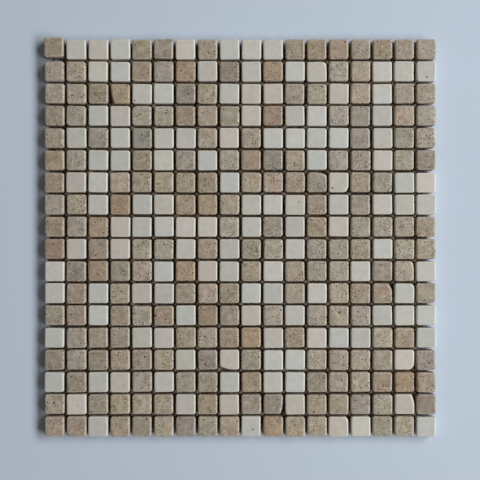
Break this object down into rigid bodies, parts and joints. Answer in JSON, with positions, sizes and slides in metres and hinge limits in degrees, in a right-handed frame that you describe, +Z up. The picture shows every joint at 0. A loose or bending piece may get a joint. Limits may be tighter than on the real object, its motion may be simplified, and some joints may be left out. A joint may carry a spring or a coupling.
{
  "type": "mosaic tile sheet",
  "caption": "Flat square sheet of small tumbled stone chips in cream and brown, set with open joints on a glass-fibre backing net.",
  "frame": {"origin": "middle of the sheet, at the underside of its backing net", "axes": "+Z up, out of the faces of the chips; +X to the right along the rows; +Y towards the far edge"},
  "size_m": [0.3038, 0.3096, 0.0087],
  "materials": {
    "cream_limestone": "honed, worn smooth",
    "speckled_travertine": "tumbled, matt, finely pitted",
    "golden_travertine": "tumbled, matt, finely pitted",
    "grey_travertine": "tumbled, matt, finely pitted",
    "glass_fibre_net": "matt, coated with brown glue"
  },
  "bodies": {
    "root": {"cream_row_01": "cream_limestone", "cream_row_02": "cream_limestone", "cream_row_03": "cream_limestone", "cream_row_04": "cream_limestone", "cream_row_05": "cream_limestone", "cream_row_06": "cream_limestone", "cream_row_07": "cream_limestone", "cream_row_08": "cream_limestone", "cream_row_09": "cream_limestone", "cream_row_10": "cream_limestone", "cream_row_11": "cream_limestone", "cream_row_12": "cream_limestone", "cream_row_13": "cream_limestone", "cream_row_14": "cream_limestone", "cream_row_15": "cream_limestone", "cream_row_16": "cream_limestone", "cream_row_17": "cream_limestone", "cream_row_18": "cream_limestone", "golden_travertine_chips": "golden_travertine", "grey_travertine_chips": "grey_travertine", "net_warp_threads": "glass_fibre_net", "net_weft_threads": "glass_fibre_net", "travertine_row_01": "speckled_travertine", "travertine_row_02": "speckled_travertine", "travertine_row_03": "speckled_travertine", "travertine_row_04": "speckled_travertine", "travertine_row_05": "speckled_travertine", "travertine_row_06": "speckled_travertine", "travertine_row_07": "speckled_travertine", "travertine_row_08": "speckled_travertine", "travertine_row_09": "speckled_travertine", "travertine_row_10": "speckled_travertine", "travertine_row_11": "speckled_travertine", "travertine_row_12": "speckled_travertine", "travertine_row_13": "speckled_travertine", "travertine_row_14": "speckled_travertine", "travertine_row_15": "speckled_travertine", "travertine_row_16": "speckled_travertine", "travertine_row_17": "speckled_travertine", "travertine_row_18": "speckled_travertine"}
  },
  "joints": []
}
